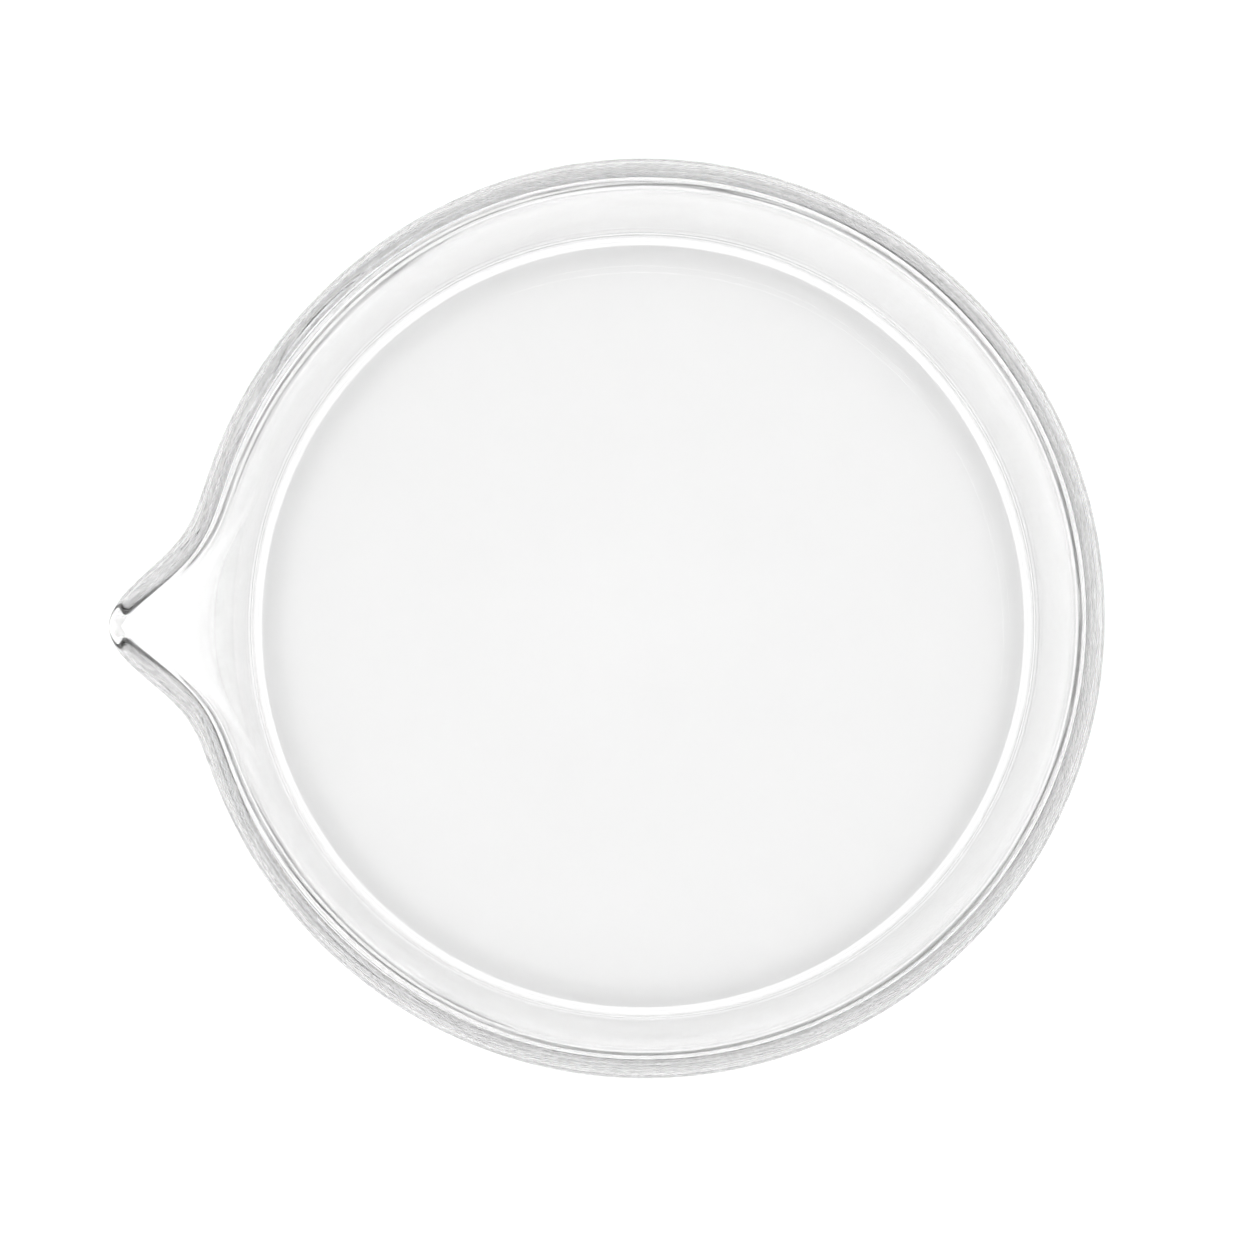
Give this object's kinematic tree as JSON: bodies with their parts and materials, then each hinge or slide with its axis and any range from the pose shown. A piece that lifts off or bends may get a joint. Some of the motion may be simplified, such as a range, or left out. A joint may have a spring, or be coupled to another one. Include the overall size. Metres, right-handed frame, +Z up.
{
  "type": "crystallizing dish",
  "caption": "Round flat-bottomed clear glass laboratory dish with straight walls, a rounded flared rim and a pointed pouring spout.",
  "frame": {"origin": "centre of the resting face, on the bowl's axis", "axes": "+Z up along the bowl's axis, -X out through the pouring spout"},
  "size_m": [0.1529, 0.141, 0.075],
  "materials": {
    "glass": "clear, smooth and fire-polished, with faint drawn streaks round the wall"
  },
  "bodies": {
    "root": {"dish": "glass"}
  },
  "joints": []
}
